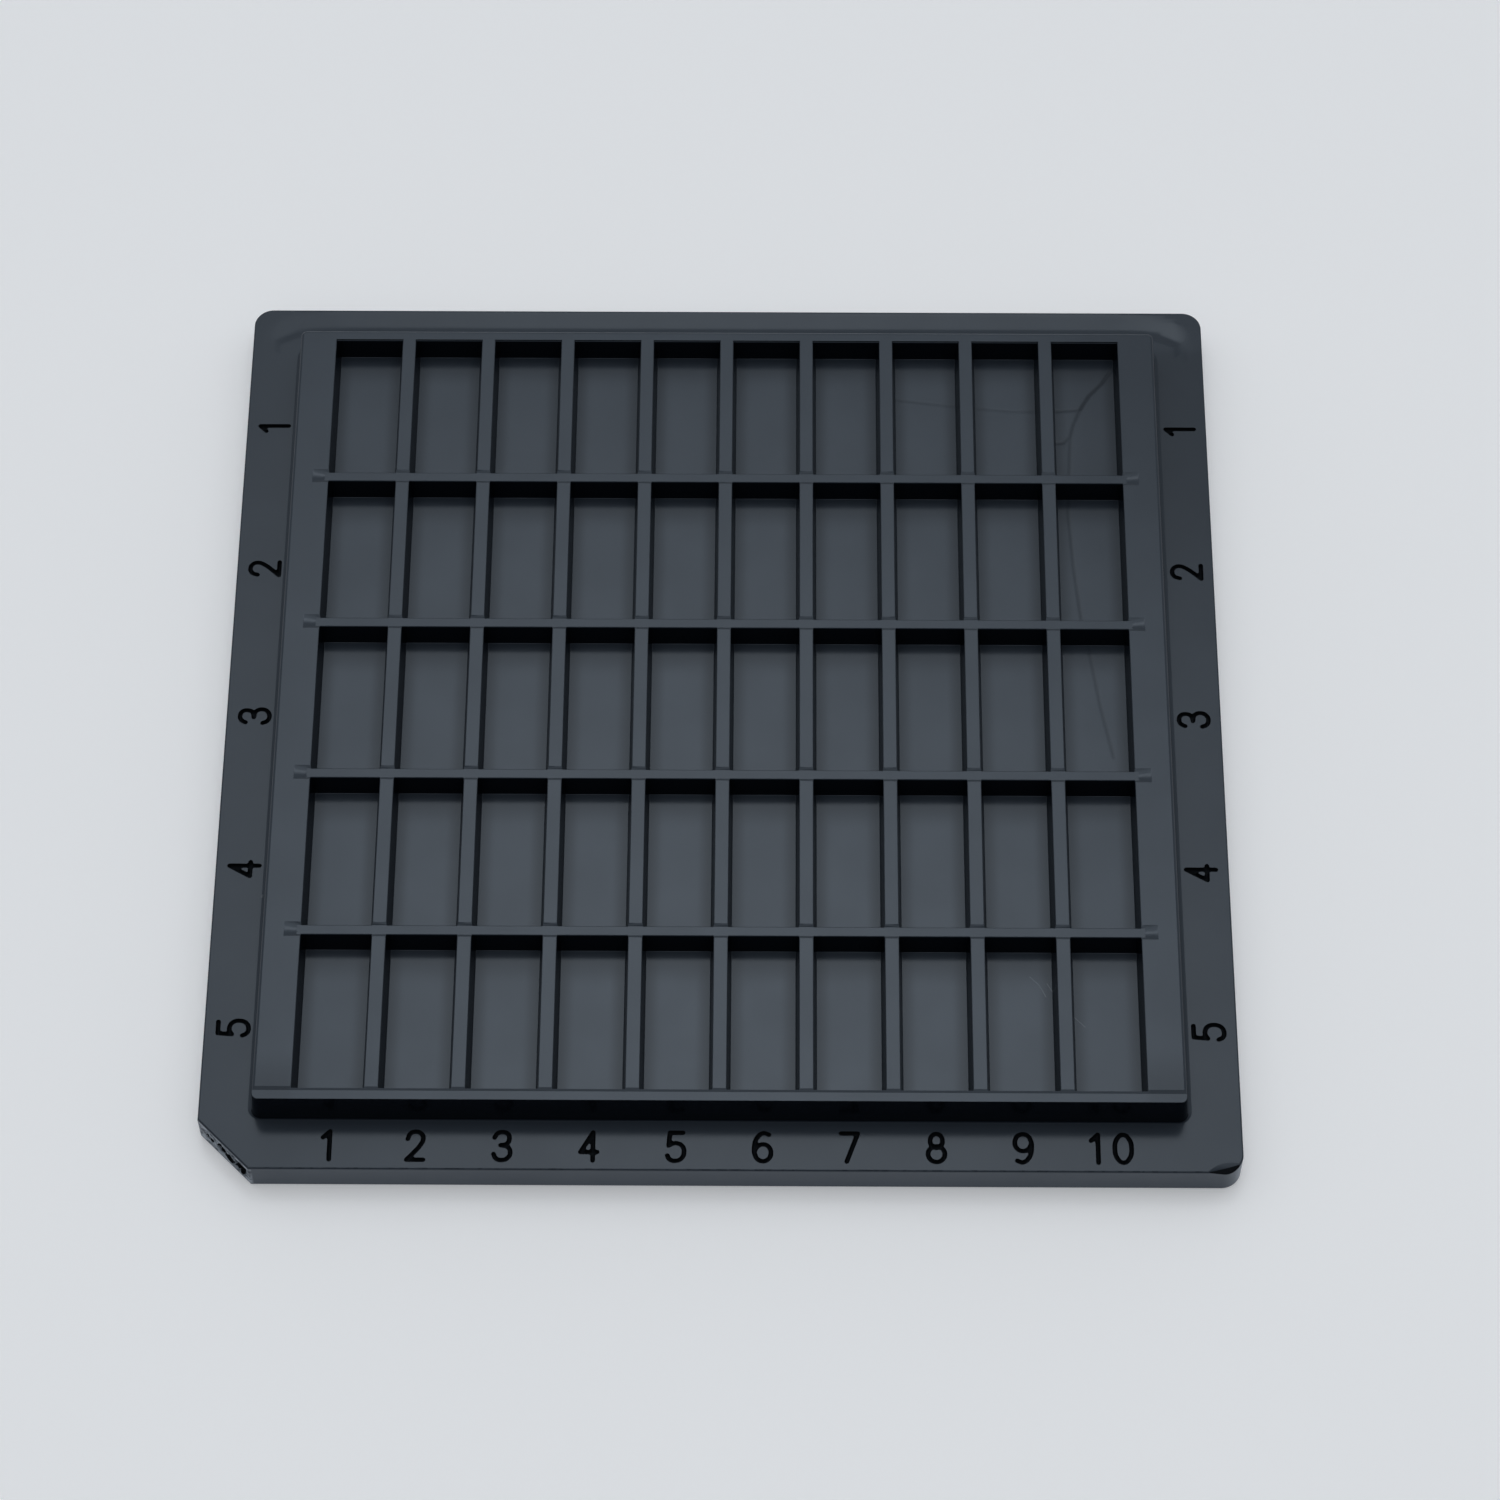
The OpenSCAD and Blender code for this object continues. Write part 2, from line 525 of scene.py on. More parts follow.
def front_step_plug():
    """Cutter that lowers the strip along the front edge of the plateau."""
    x = TRAY_SIDE / 2
    rings = []
    for z in (TRAY_H - RIB_DROP, TRAY_H + LAP):
        back = -GRID_L / 2 + LIP + (z - TRAY_H) * tan_deg(FRONT_STEP_SLOPE)
        rings.append([(-x, -x, z), (x, -x, z), (x, back, z), (-x, back, z)])
    return mesh_object("front_step_plug", loft(rings))


def new_node(tree, kind, **settings):
    """A node with its settings; a key that isn't a property sets the input of that name."""
    made = tree.nodes.new(kind)
    for key, value in settings.items():
        if hasattr(made, key):
            setattr(made, key, value)
        else:
            made.inputs[key.replace("_", " ")].default_value = value
    return made


def feed(tree, socket, value):
    """Gives an input a number, a colour or the output of another node."""
    if isinstance(value, bpy.types.NodeSocket):
        tree.links.new(value, socket)
    elif isinstance(value, tuple):
        socket.default_value = (*value, 1)
    else:
        socket.default_value = value


def math_node(tree, operation, first, second=0.0):
    """The result of one operation on numbers or sockets."""
    made = new_node(tree, "ShaderNodeMath", operation=operation)
    feed(tree, made.inputs[0], first)
    feed(tree, made.inputs[1], second)
    return made.outputs[0]


def ramp_node(tree, value, low, high, at_low, at_high):
    """Eases from at_low to at_high while a value goes from low to high."""
    made = new_node(
        tree,
        "ShaderNodeMapRange",
        interpolation_type="SMOOTHSTEP",
        From_Min=low,
        From_Max=high,
        To_Min=at_low,
        To_Max=at_high,
    )
    feed(tree, made.inputs["Value"], value)
    return made.outputs["Result"]


def mix_node(tree, share, first, second):
    """A colour between two others, each a colour or a socket."""
    made = new_node(tree, "ShaderNodeMix", data_type="RGBA")
    feed(tree, made.inputs[0], share)
    feed(tree, made.inputs[MIX_FIRST], first)
    feed(tree, made.inputs[MIX_SECOND], second)
    return made.outputs[MIX_RESULT]


def pocket_field_tree():
    """Geometry Nodes that cut the cross ribs and the grid of pockets into the blank."""
    tree = bpy.data.node_groups.new("pocket_field", "GeometryNodeTree")
    for name, kind in (
        ("Blank", "NodeSocketGeometry"),
        ("Columns", "NodeSocketInt"),
        ("Rows", "NodeSocketInt"),
        ("Column Pitch", "NodeSocketFloat"),
        ("Row Pitch", "NodeSocketFloat"),
        ("Pocket Plug", "NodeSocketObject"),
        ("Groove Plug", "NodeSocketObject"),
        ("Front Step", "NodeSocketObject"),
        ("Plastic", "NodeSocketMaterial"),
    ):
        tree.interface.new_socket(name, in_out="INPUT", socket_type=kind)
    tree.interface.new_socket("Tray", in_out="OUTPUT", socket_type="NodeSocketGeometry")
    given = tree.nodes.new("NodeGroupInput").outputs
    link = tree.links.new

    def tool(name):
        info = new_node(tree, "GeometryNodeObjectInfo")
        link(given[name], info.inputs["Object"])
        return info.outputs["Geometry"]

    def realized(geometry):
        realize = new_node(tree, "GeometryNodeRealizeInstances")
        link(geometry, realize.inputs[0])
        return realize.outputs[0]

    def placed(points, instance):
        place = new_node(tree, "GeometryNodeInstanceOnPoints")
        link(points, place.inputs["Points"])
        link(instance, place.inputs["Instance"])
        return realized(place.outputs[0])

    def cut(solid, *cutters):
        boolean = new_node(tree, "GeometryNodeMeshBoolean", operation="DIFFERENCE", solver="EXACT")
        link(solid, boolean.inputs["Mesh 1"])
        for cutter in cutters:
            link(cutter, boolean.inputs["Mesh 2"])
        return boolean.outputs["Mesh"]

    # One point for each pocket, on a grid about the middle of the tray
    columns_less_one = math_node(tree, "SUBTRACT", given["Columns"], 1)
    rows_less_one = math_node(tree, "SUBTRACT", given["Rows"], 1)
    grid = new_node(tree, "GeometryNodeMeshGrid")
    link(given["Columns"], grid.inputs["Vertices X"])
    link(given["Rows"], grid.inputs["Vertices Y"])
    link(math_node(tree, "MULTIPLY", columns_less_one, given["Column Pitch"]), grid.inputs["Size X"])
    link(math_node(tree, "MULTIPLY", rows_less_one, given["Row Pitch"]), grid.inputs["Size Y"])

    # One point for each cross rib, midway between the rows
    line = new_node(tree, "GeometryNodeMeshLine", mode="OFFSET")
    link(rows_less_one, line.inputs["Count"])
    rows_less_two = math_node(tree, "SUBTRACT", given["Rows"], 2)
    half_pitch = math_node(tree, "MULTIPLY", given["Row Pitch"], -0.5)
    start = new_node(tree, "ShaderNodeCombineXYZ")
    link(math_node(tree, "MULTIPLY", rows_less_two, half_pitch), start.inputs["Y"])
    link(start.outputs[0], line.inputs["Start Location"])
    offset = new_node(tree, "ShaderNodeCombineXYZ")
    link(given["Row Pitch"], offset.inputs["Y"])
    link(offset.outputs[0], line.inputs["Offset"])

    grooves = placed(line.outputs["Mesh"], tool("Groove Plug"))
    lowered = cut(given["Blank"], grooves, tool("Front Step"))
    pocketed = cut(lowered, placed(grid.outputs["Mesh"], tool("Pocket Plug")))
    finish = new_node(tree, "GeometryNodeSetMaterial")
    link(realized(pocketed), finish.inputs["Geometry"])
    link(given["Plastic"], finish.inputs["Material"])
    result = tree.nodes.new("NodeGroupOutput")
    link(finish.outputs[0], result.inputs["Tray"])
    return tree


def baked(piece):
    """Turns a piece with its modifiers into a plain mesh."""
    depsgraph = bpy.context.evaluated_depsgraph_get()
    mesh = bpy.data.meshes.new_from_object(piece.evaluated_get(depsgraph), depsgraph=depsgraph)
    piece.modifiers.clear()
    piece.data = mesh
    return piece


def cut_pockets(blank, plastic):
    """Runs the pocket field on the blank."""
    tools = {
        "Pocket Plug": pocket_plug(),
        "Groove Plug": groove_plug(),
        "Front Step": front_step_plug(),
    }
    values = {
        "Columns": COLUMNS,
        "Rows": ROWS,
        "Column Pitch": COLUMN_PITCH,
        "Row Pitch": ROW_PITCH,
        "Plastic": plastic,
        **tools,
    }
    tree = pocket_field_tree()
    modifier = blank.modifiers.new("pocket_field", "NODES")
    modifier.node_group = tree
    for socket in tree.interface.items_tree:
        if socket.in_out == "INPUT" and socket.name in values:
            modifier[socket.identifier] = values[socket.name]
    baked(blank)
    for made in tools.values():
        bpy.data.objects.remove(made)


def oval(x, y, x_radius, y_radius):
    """Points of a closed stroke round a middle."""
    turns = [math.radians(360 / OVAL_POINTS * i) for i in range(OVAL_POINTS)]
    return [(x + x_radius * math.cos(turn), y + y_radius * math.sin(turn)) for turn in turns]


# Pen strokes of each digit in units of its height: straight runs, smooth runs or closed ovals
TWO_BOW = [
    (0.02, 0.74), (0.1, 0.93), (0.27, 1), (0.45, 0.93), (0.52, 0.74), (0.42, 0.5), (0.2, 0.22),
]
THREE_TOP = [
    (0.02, 0.8), (0.11, 0.95), (0.27, 1), (0.45, 0.93), (0.5, 0.76), (0.42, 0.58), (0.22, 0.53),
]
THREE_BOTTOM = [
    (0.22, 0.53), (0.45, 0.47), (0.54, 0.27), (0.45, 0.07), (0.27, 0), (0.08, 0.06), (0, 0.22),
]
FIVE_BOW = [
    (0.04, 0.54), (0.15, 0.61), (0.29, 0.63), (0.47, 0.54), (0.54, 0.32), (0.46, 0.09), (0.26, 0),
    (0.08, 0.05), (0, 0.19),
]
SIX = [
    (0.47, 0.94), (0.3, 1), (0.1, 0.85), (0, 0.5), (0.02, 0.24), (0.12, 0.06), (0.27, 0),
    (0.44, 0.06), (0.54, 0.3), (0.45, 0.53), (0.27, 0.6), (0.1, 0.52), (0.01, 0.36),
]
DIGIT_STROKES = {
    "0": [("closed", oval(0.27, 0.5, 0.27, 0.5))],
    "1": [("straight", [(0.08, 0.78), (0.3, 1), (0.3, 0)])],
    "2": [("smooth", TWO_BOW), ("straight", [TWO_BOW[-1], (0, 0), (0.54, 0)])],
    "3": [("smooth", THREE_TOP), ("smooth", THREE_BOTTOM)],
    "4": [("straight", [(0.4, 0), (0.4, 1), (0, 0.3), (0.54, 0.3)])],
    "5": [("straight", [(0.5, 1), (0.08, 1), FIVE_BOW[0]]), ("smooth", FIVE_BOW)],
    "6": [("smooth", SIX)],
    "7": [("straight", [(0, 1), (0.54, 1), (0.18, 0)])],
    "8": [("closed", oval(0.27, 0.75, 0.2, 0.25)), ("closed", oval(0.27, 0.28, 0.27, 0.28))],
    "9": [("smooth", [(DIGIT_W - x, 1 - y) for x, y in SIX])],
}


def add_stroke(curve, places, closed):
    """Draws one smooth run through some places."""
    spline = curve.splines.new("BEZIER")
    spline.bezier_points.add(len(places) - 1)
    spline.use_cyclic_u = closed
    for point, place in zip(spline.bezier_points, places):
        point.co = place
        point.handle_left_type = "AUTO"
        point.handle_right_type = "AUTO"


def numeral_mesh(text):
    """Round-nosed grooves along the strokes of a number, centred on the origin."""
    curve = bpy.data.curves.new("numeral", "CURVE")
    curve.dimensions = "3D"
    curve.bevel_depth = NUMERAL_STROKE / 2
    curve.bevel_resolution = STROKE_BEVEL_STEPS
    curve.resolution_u = STROKE_CURVE_STEPS
    curve.use_fill_caps = True
    width = len(text) * (DIGIT_W + DIGIT_GAP) - DIGIT_GAP
    ball_places = []
    for i, digit in enumerate(text):
        shift = i * (DIGIT_W + DIGIT_GAP) - width / 2
        for kind, points in DIGIT_STROKES[digit]:
            places = [Vector((x + shift, y - 0.5, 0)) * NUMERAL_H for x, y in points]
            if kind == "straight":
                for run in zip(places, places[1:]):
                    add_stroke(curve, run, False)
                ball_places += places
            else:
                add_stroke(curve, places, kind == "closed")
            if kind == "smooth":
                ball_places += [places[0], places[-1]]
    holder = bpy.data.objects.new("numeral", curve)
    bpy.context.scene.collection.objects.link(holder)
    depsgraph = bpy.context.evaluated_depsgraph_get()
    mesh = bpy.data.meshes.new_from_object(holder.evaluated_get(depsgraph))
    bpy.data.objects.remove(holder)
    bpy.data.curves.remove(curve)
    bm = bmesh.new()
    bm.from_mesh(mesh)
    bpy.data.meshes.remove(mesh)
    bmesh.ops.remove_doubles(bm, verts=bm.verts, dist=MERGE_DISTANCE)
    for place in ball_places:
        bmesh.ops.create_uvsphere(
            bm,
            u_segments=BALL_SEGMENTS,
            v_segments=BALL_RINGS,
            radius=NUMERAL_STROKE / 2,
            matrix=Matrix.Translation(place),
        )
    bmesh.ops.scale(bm, vec=(1, 1, NUMERAL_DEPTH / (NUMERAL_STROKE / 2)), verts=bm.verts)
    return bm


def one_skin(cutter, voxel, hollow_shade):
    """Gives a cutter of overlapping bodies one closed skin and its material."""
    skin = cutter.modifiers.new("one_skin", "REMESH")
    skin.mode = "VOXEL"
    skin.voxel_size = voxel
    baked(cutter)
    cutter.data.materials.append(hollow_shade)
    return cutter


def numeral_cutter(hollow_shade):
    """Cutter for all the index numerals; its grooves take the darker finish, partly a rough cut surface
    and partly painted shade.
    """
    spots = []
    for i in range(COLUMNS):
        spots.append((str(i + 1), (i - (COLUMNS - 1) / 2) * COLUMN_PITCH, FRONT_LINE, 0))
    for i in range(ROWS):
        row_y = ((ROWS - 1) / 2 - i) * ROW_PITCH
        for x in (LEFT_LINE, RIGHT_LINE):
            spots.append((str(i + 1), x, row_y, ROW_NUMERAL_TURN))
    joined = bmesh.new()
    for text, x, y, turn in spots:
        bm = numeral_mesh(text)
        bm.transform(Matrix.Translation((x, y, RIM_H)) @ Matrix.Rotation(math.radians(turn), 4, "Z"))
        placed = bpy.data.meshes.new("numeral")
        bm.to_mesh(placed)
        bm.free()
        joined.from_mesh(placed)
        bpy.data.meshes.remove(placed)
    return one_skin(mesh_object("numeral_cutter", joined), NUMERAL_VOXEL, hollow_shade)


def scar_cutter(hollow_shade):
    """Cutter for the ragged pits of the torn gate on the key corner, whose dark finish is painted shade
    in the pits.
    """
    left_end = Vector((-TRAY_SIDE / 2, KEY_LEG - TRAY_SIDE / 2, 0))
    front_end = Vector((KEY_LEG - TRAY_SIDE / 2, -TRAY_SIDE / 2, 0))
    turn = Matrix.Rotation(math.radians(KEY_TURN), 4, "Z")
    joined = bmesh.new()
    for along, height, half_length, half_height in SCAR_PITS:
        ball = bmesh.ops.create_icosphere(joined, subdivisions=PIT_SUBDIVISIONS, radius=1.0)
        shift = Vector((PIT_SHIFT * along, 0, 0))
        for vert in ball["verts"]:
            vert.co *= 1 + PIT_RAGGEDNESS * noise.noise(vert.co * PIT_GRAIN + shift)
        place = Matrix.Translation(left_end.lerp(front_end, along) + Vector((0, 0, height)))
        size = Matrix.Diagonal((half_length, PIT_DEPTH, half_height, 1))
        bmesh.ops.transform(joined, matrix=place @ turn @ size, verts=ball["verts"])
    return one_skin(mesh_object("scar_cutter", joined), PIT_VOXEL, hollow_shade)


def dent_cutter(plastic, hollow_shade):
    """Cutter for the dent on the front right corner of the rim, with its steep facet painted dark as
    the dent's shade.
    """
    along = (DENT_END - DENT_START).normalized()
    outwards = Vector((along.y, -along.x))
    rings = []
    for step in range(-DENT_OVERRUN, DENT_STEPS + DENT_OVERRUN + 1):
        share = step / DENT_STEPS
        flank = DENT_LEAST_FLANK + DENT_FLANK * max(0.0, math.sin(math.pi * share))
        crease = -flank * tan_deg(DENT_FLANK_SLOPE)
        line = DENT_START.lerp(DENT_END, share)
        profile = (
            (-flank - LAP / tan_deg(DENT_FLANK_SLOPE), LAP),
            (DENT_REACH, LAP),
            (DENT_REACH, crease - DENT_REACH * tan_deg(DENT_SLOPE)),
            (0, crease),
        )
        ring = []
        for out, height in profile:
            x, y = line + outwards * out
            ring.append((x, y, RIM_H + height))
        rings.append(ring)
    cutter = mesh_object("dent_cutter", loft(rings))
    cutter.data.materials.append(plastic)
    cutter.data.materials.append(hollow_shade)
    for face in cutter.data.polygons:
        face.material_index = int(abs(face.normal.z) < DENT_FACET_NORMAL)
    return cutter


def cut_marks(tray, *cutters):
    """Cuts marks that carry their own material into the tray."""
    for cutter in cutters:
        boolean = tray.modifiers.new(cutter.name, "BOOLEAN")
        boolean.operation = "DIFFERENCE"
        boolean.solver = "EXACT"
        boolean.material_mode = "TRANSFER"
        boolean.object = cutter
    baked(tray)
    for cutter in cutters:
        bpy.data.objects.remove(cutter)


def shade_steep_walls(tray, wall):
    """Gives the steep walls of the pockets and the plateau their own finish: polished, and darker as
    painted shade.
    """
    tray.data.materials.append(wall)
    wall_index = len(tray.data.materials) - 1
    for face in tray.data.polygons:
        if face.center.z > RIM_H + WALL_ABOVE_RIM and abs(face.normal.z) < WALL_NORMAL:
            face.material_index = wall_index


def smooth_rounds(tray):
    """Smooth shading on the small rounds, with level faces and large walls kept flat."""
    tray.data.shade_smooth()
    tray.data.set_sharp_from_angle(angle=math.radians(SHARP_ANGLE))
    for face in tray.data.polygons:
        level = abs(face.normal.z) > LEVEL_NORMAL
        gentle = abs(face.normal.z) > GENTLE_NORMAL
        face.use_smooth = not level and (gentle or face.area < FLAT_AREA * MM**2)


def new_material(name):
    """A material with its node tree and its main shader."""
    material = bpy.data.materials.new(name)
    material.use_nodes = True
    return material, material.node_tree, material.node_tree.nodes["Principled BSDF"]


def stroke_distance_tree():
    """Shader group: distance of a place from a straight stroke, seen from above."""
    tree = bpy.data.node_groups.new("stroke_distance", "ShaderNodeTree")
    for name in ("Place", "Start", "End"):
        tree.interface.new_socket(name, in_out="INPUT", socket_type="NodeSocketVector")
    tree.interface.new_socket("Distance", in_out="OUTPUT", socket_type="NodeSocketFloat")
    given = tree.nodes.new("NodeGroupInput").outputs
    result = tree.nodes.new("NodeGroupOutput").inputs

    def vector_math(operation, first, second):
        made = new_node(tree, "ShaderNodeVectorMath", operation=operation)
        tree.links.new(first, made.inputs[0])
        tree.links.new(second, made.inputs["Scale" if operation == "SCALE" else 1])
        return made.outputs["Value" if operation == "DOT_PRODUCT" else "Vector"]

    along = vector_math("SUBTRACT", given["End"], given["Start"])
    reach = vector_math("SUBTRACT", given["Place"], given["Start"])
    share = new_node(tree, "ShaderNodeMath", operation="DIVIDE", use_clamp=True)
    tree.links.new(vector_math("DOT_PRODUCT", reach, along), share.inputs[0])
    tree.links.new(vector_math("DOT_PRODUCT", along, along), share.inputs[1])
    short = vector_math("SUBTRACT", reach, vector_math("SCALE", along, share.outputs[0]))
    length = new_node(tree, "ShaderNodeVectorMath", operation="LENGTH")
    tree.links.new(short, length.inputs[0])
    tree.links.new(length.outputs["Value"], result["Distance"])
    return tree


class Finish:
    """Small helpers that build one material's masks from places on the tray, in millimetres."""

    def __init__(self, tree):
        self.tree = tree
        metres = tree.nodes.new("ShaderNodeTexCoord").outputs["Object"]
        scaled = new_node(tree, "ShaderNodeVectorMath", operation="SCALE", Scale=PER_MM)
        tree.links.new(metres, scaled.inputs[0])
        self.place = scaled.outputs["Vector"]
        split = new_node(tree, "ShaderNodeSeparateXYZ")
        tree.links.new(self.place, split.inputs[0])
        self.x, self.y, self.z = split.outputs
        plan = new_node(tree, "ShaderNodeCombineXYZ")
        tree.links.new(self.x, plan.inputs["X"])
        tree.links.new(self.y, plan.inputs["Y"])
        self.plan = plan.outputs[0]

    def math(self, operation, first, *others):
        """Joins values by one operation, from the first to the last."""
        for other in others:
            first = math_node(self.tree, operation, first, other)
        return first

    def unsigned(self, value):
        return math_node(self.tree, "ABSOLUTE", value)

    def ramp(self, value, low, high, at_low, at_high):
        return ramp_node(self.tree, value, low, high, at_low, at_high)

    def mix(self, share, first, second):
        return mix_node(self.tree, share, first, second)

    def band(self, value, low, high, soft):
        """1 between low and high, with soft edges."""
        rise = self.ramp(value, low, low + soft, 0, 1)
        fall = self.ramp(value, high - soft, high, 1, 0)
        return self.math("MULTIPLY", rise, fall)

    def noise(self, scale, detail):
        made = new_node(self.tree, "ShaderNodeTexNoise", Scale=scale, Detail=detail)
        self.tree.links.new(self.place, made.inputs["Vector"])
        return made.outputs["Fac"]

    def from_middle(self, value, count, pitch):
        """How far a place is from the middle of its own pocket, along one row or column."""
        shifted = self.math("ADD", value, count / 2 * pitch)
        return self.math("SUBTRACT", self.math("FLOORED_MODULO", shifted, pitch), pitch / 2)

    def strokes(self, group, paths):
        """Distance from the nearest of some paths drawn on the plan."""
        distances = []
        for path in paths:
            for start, end in zip(path, path[1:]):
                stroke = new_node(self.tree, "ShaderNodeGroup", node_tree=group)
                self.tree.links.new(self.plan, stroke.inputs["Place"])
                stroke.inputs["Start"].default_value = (*start, 0)
                stroke.inputs["End"].default_value = (*end, 0)
                distances.append(stroke.outputs["Distance"])
        return self.math("MINIMUM", *distances)


def level_roughness(finish):
    """Roughness by height: outer faces and pocket floors are smoothest, then plateau, then rim top."""
    face = finish.ramp(
        finish.z, RIM_H - FACE_FADE[0], RIM_H - FACE_FADE[1], FACE_ROUGHNESS - RIM_ROUGHNESS, 0
    )
    rim = finish.ramp(
        finish.z, RIM_H + RIM_FADE, FLOOR_Z - RIM_FADE, RIM_ROUGHNESS, FLOOR_ROUGHNESS
    )
    plateau = finish.ramp(
        finish.z, FLOOR_Z + PLATEAU_FADE, TRAY_H - PLATEAU_FADE, 0, PLATEAU_ROUGHNESS - FLOOR_ROUGHNESS
    )
    return finish.math("ADD", face, rim, plateau)


def dull_corner(finish):
    """Added roughness of the corner past the weld lines."""
    return finish.math(
        "MULTIPLY",
        finish.ramp(finish.x, DULL_FROM[0], DULL_FULL[0], 0, 1),
        finish.ramp(finish.y, DULL_FROM[1], DULL_FULL[1], 0, DULL_CORNER),
        finish.ramp(finish.y, *DULL_END, 1, 0),
    )


def dull_bands(finish):
    """Added roughness of the front ends of the side bands."""
    return finish.math(
        "MULTIPLY",
        finish.ramp(finish.unsigned(finish.x), *BAND_START, 0, 1),
        finish.ramp(finish.z, TRAY_H - BAND_BELOW[0], TRAY_H - BAND_BELOW[1], 0, 1),
        finish.ramp(finish.y, *BAND_REACH, BAND_DULL, 0),
    )


def dull_floors(finish, on_floor):
    """Added roughness of the pocket floors towards their side walls and back wall."""
    off_middle = finish.unsigned(finish.from_middle(finish.x, COLUMNS, COLUMN_PITCH))
    from_side = finish.math("SUBTRACT", POCKET_W / 2, off_middle)
    from_back = finish.math("SUBTRACT", POCKET_L / 2, finish.from_middle(finish.y, ROWS, ROW_PITCH))
    near_walls = finish.math(
        "ADD",
        finish.ramp(from_side, *SIDE_REACH, SIDE_DULL, 0),
        finish.ramp(from_back, *BACK_REACH, BACK_DULL, 0),
    )
    return finish.math("MULTIPLY", near_walls, on_floor)


def weld_marks(finish, stroke_group, on_floor):
    """Strength of the weld lines on the pocket floors, where the melt fronts met."""
    lines = []
    for strength, path in WELD_LINES:
        distance = finish.strokes(stroke_group, [path])
        lines.append(finish.ramp(distance, 0.0, WELD_HALF_WIDTH, strength, 0))
    return finish.math("MULTIPLY", finish.math("MAXIMUM", *lines), on_floor)


def torn_gate(finish):
    """Where the skin of the key corner is torn, down to a small depth behind its face."""
    across = finish.math("MULTIPLY", finish.math("ADD", finish.x, finish.y), math.sqrt(0.5))
    depth = finish.math("ADD", across, (TRAY_SIDE - KEY_LEG) * math.sqrt(0.5))
    return finish.math(
        "MULTIPLY",
        finish.ramp(depth, *TORN_FADE, 1, 0),
        finish.band(finish.z, TORN_FOOT, RIM_H - RIM_EDGE, TORN_SOFT),
    )


def front_scuffs(finish):
    """Scuffs along the front edge of the rim."""
    front = -TRAY_SIDE / 2
    return finish.math(
        "MULTIPLY",
        finish.ramp(finish.y, front + SCUFF_REACH[0], front + SCUFF_REACH[1], 1, 0),
        finish.ramp(finish.z, RIM_H - SCUFF_BELOW[0], RIM_H - SCUFF_BELOW[1], 0, 1),
        finish.ramp(finish.noise(*SCUFF_NOISE), *SCUFF_SPREAD, 0, 1),
    )


def dust(finish, stroke_group, on_floor):
    """Hairs on the pocket floors, and a speck at the foot of the plateau."""
    hair = finish.ramp(finish.strokes(stroke_group, HAIRS), *HAIR_EDGE, 1, 0)
    speck = finish.ramp(finish.strokes(stroke_group, [SPECK]), *SPECK_EDGE, SPECK_SHARE, 0)
    return finish.math("MAXIMUM", finish.math("MULTIPLY", hair, on_floor), speck)


def tray_plastic():
    """Carbon-filled black plastic with a satin skin, weld lines, a torn gate and a little dust."""
    material, tree, shader = new_material("tray_plastic")
    link = tree.links.new
    shader.inputs["IOR"].default_value = PLASTIC_IOR
    shader.inputs["Specular Tint"].default_value = (*GLOSS_TINT, 1)
    shader.inputs["Coat Weight"].default_value = SKIN_SHARE
    shader.inputs["Coat Roughness"].default_value = SKIN_ROUGHNESS
    finish = Finish(tree)
    stroke_group = stroke_distance_tree()
    on_floor = finish.band(finish.z, FLOOR_Z - FLOOR_BAND, FLOOR_Z + FLOOR_BAND, FLOOR_BAND_SOFT)
    weld = weld_marks(finish, stroke_group, on_floor)
    torn = torn_gate(finish)

    # Colour: nearly black, pale in patches where the gate was torn, and grey where dust lies
    tone = finish.mix(finish.noise(*TONE_NOISE), DEEP_BLACK, SOFT_BLACK)
    patches = finish.ramp(finish.noise(*PALE_NOISE), *PALE_SPREAD, PALE_LEAST, 1)
    tone = finish.mix(finish.math("MULTIPLY", torn, patches), tone, TORN_GREY)
    tone = finish.mix(dust(finish, stroke_group, on_floor), tone, DUST_GREY)
    link(tone, shader.inputs["Base Color"])

    # Roughness: by height, a little mottled and duller in places, and matt where torn or scuffed
    skin = finish.math(
        "ADD",
        level_roughness(finish),
        finish.ramp(finish.noise(*MOTTLE_NOISE), *MOTTLE_SPREAD, -MOTTLE, MOTTLE),
        dull_corner(finish),
        dull_bands(finish),
        dull_floors(finish, on_floor),
        finish.math("MULTIPLY", weld, MATT_ROUGHNESS - FLOOR_ROUGHNESS),
    )
    matt = finish.math("MULTIPLY", finish.math("MAXIMUM", torn, front_scuffs(finish)), MATT_ROUGHNESS)
    link(finish.math("MAXIMUM", skin, matt), shader.inputs["Roughness"])

    # Bump: a fine grain all over, and the weld lines slightly sunk
    grain = finish.math("MULTIPLY", finish.noise(*GRAIN_NOISE), GRAIN_HEIGHT)
    height = finish.math("SUBTRACT", grain, finish.math("MULTIPLY", weld, WELD_SINK))
    bump = new_node(tree, "ShaderNodeBump", Strength=1.0, Distance=MM)
    link(height, bump.inputs["Height"])
    link(bump.outputs["Normal"], shader.inputs["Normal"])
    link(bump.outputs["Normal"], shader.inputs["Coat Normal"])
    return material


def skinless_shaded_plastic(name, low_tone, high_tone, ior, roughness):
    """The same plastic without its skin and darker, the darker colour painted shade, for the cut
    hollows and the steep walls.
    """
    material, tree, shader = new_material(name)
    shader.inputs["IOR"].default_value = ior
    shader.inputs["Specular Tint"].default_value = (*GLOSS_TINT, 1)
    finish = Finish(tree)
    spark = finish.noise(*SPARK_NOISE)
    tree.links.new(finish.mix(spark, low_tone, high_tone), shader.inputs["Base Color"])
    tree.links.new(finish.ramp(spark, *SPARK_SPREAD, *roughness), shader.inputs["Roughness"])
    return material


